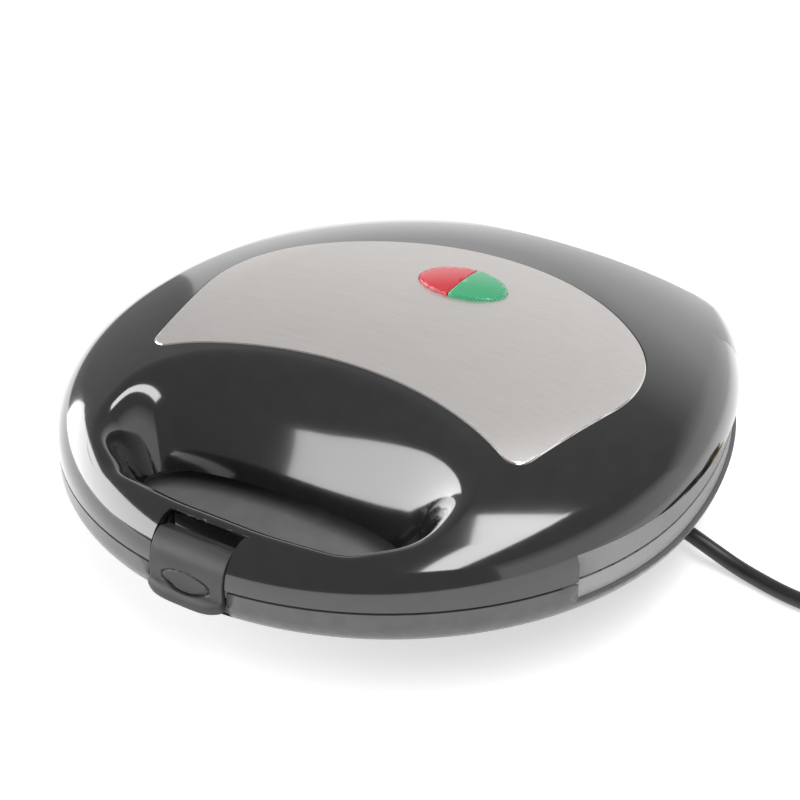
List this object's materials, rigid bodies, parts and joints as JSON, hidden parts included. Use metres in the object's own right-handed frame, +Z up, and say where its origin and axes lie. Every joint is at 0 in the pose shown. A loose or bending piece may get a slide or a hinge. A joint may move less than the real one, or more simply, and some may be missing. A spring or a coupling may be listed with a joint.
{
  "type": "donut maker",
  "caption": "Clamshell donut maker: domed lid on a rear hinge, brushed steel panel, pilot lenses, finger well, front latch, ring-mould hot plates, footed base and mains cord.",
  "frame": {"origin": "on the table under the middle of the appliance, cord left out", "axes": "+Z up, -Y to the front with the latch, +Y to the hinge, +X to the right of someone facing the front"},
  "size_m": [0.3382, 0.236, 0.0726],
  "materials": {
    "lid_gloss": "polished black moulding with matte side bands",
    "base_gloss": "dark moulding with a soft shine and matte side bands",
    "deck_satin": "satin dark grey moulding",
    "latch_satin": "satin black moulding",
    "panel_steel": "brushed left to right, polished edge",
    "lens_red": "translucent red, fine ribs",
    "lens_green": "translucent green, fine ribs",
    "nonstick": "dark non-stick coating on cast aluminium",
    "element_sheath": "heat-dulled steel sheath",
    "clip_steel": "plain sheet steel",
    "pin_steel": "bright steel",
    "foot_rubber": "matte black rubber",
    "cord_jacket": "black jacket with a slight shine",
    "plug_black": "moulded black plug",
    "blade_brass": "plain brass blades",
    "white_plastic": "heat-resistant off-white moulding",
    "lamp_glass": "clear glass capsule",
    "loom_sleeve": "woven glass sleeve",
    "thermostat_metal": "plain aluminium cap"
  },
  "bodies": {
    "base": {"base_pan": "base_gloss", "base_deck": "deck_satin", "base_screws": "pin_steel", "rubber_feet": "foot_rubber", "hinge_pins": "pin_steel", "lower_plate": "nonstick", "lower_element": "element_sheath", "lower_element_clips": "clip_steel", "thermostat": "thermostat_metal", "thermal_fuse": "loom_sleeve", "terminal_block": "white_plastic", "base_wiring": "loom_sleeve", "inner_lead": "cord_jacket", "cord_clamp": "white_plastic", "cord_boot": "foot_rubber", "cord_run": "cord_jacket", "cord_coil": "cord_jacket", "cord_tie": "plug_black", "plug_body": "plug_black", "plug_blades": "blade_brass"},
    "lid": {"lid_shell": "lid_gloss", "lid_liner": "deck_satin", "steel_panel": "panel_steel", "red_lens": "lens_red", "green_lens": "lens_green", "lamp_holder": "white_plastic", "neon_lamps": "lamp_glass", "lid_wiring": "loom_sleeve", "lid_screws": "pin_steel", "latch_pin": "pin_steel", "upper_plate": "nonstick", "upper_element": "element_sheath", "upper_element_clips": "clip_steel"},
    "latch": {"latch_clip": "latch_satin"}
  },
  "joints": [
    {"name": "lid_hinge", "type": "hinge", "parent": "base", "child": "lid", "pos_m": [0, 0.1115, 0.04], "axis": [-1, 0, 0], "range_deg": [0, 100]},
    {"name": "latch_pivot", "type": "hinge", "parent": "lid", "child": "latch", "pos_m": [0, -0.106, 0.0465], "axis": [-1, 0, 0], "range_deg": [-5, 30]}
  ]
}
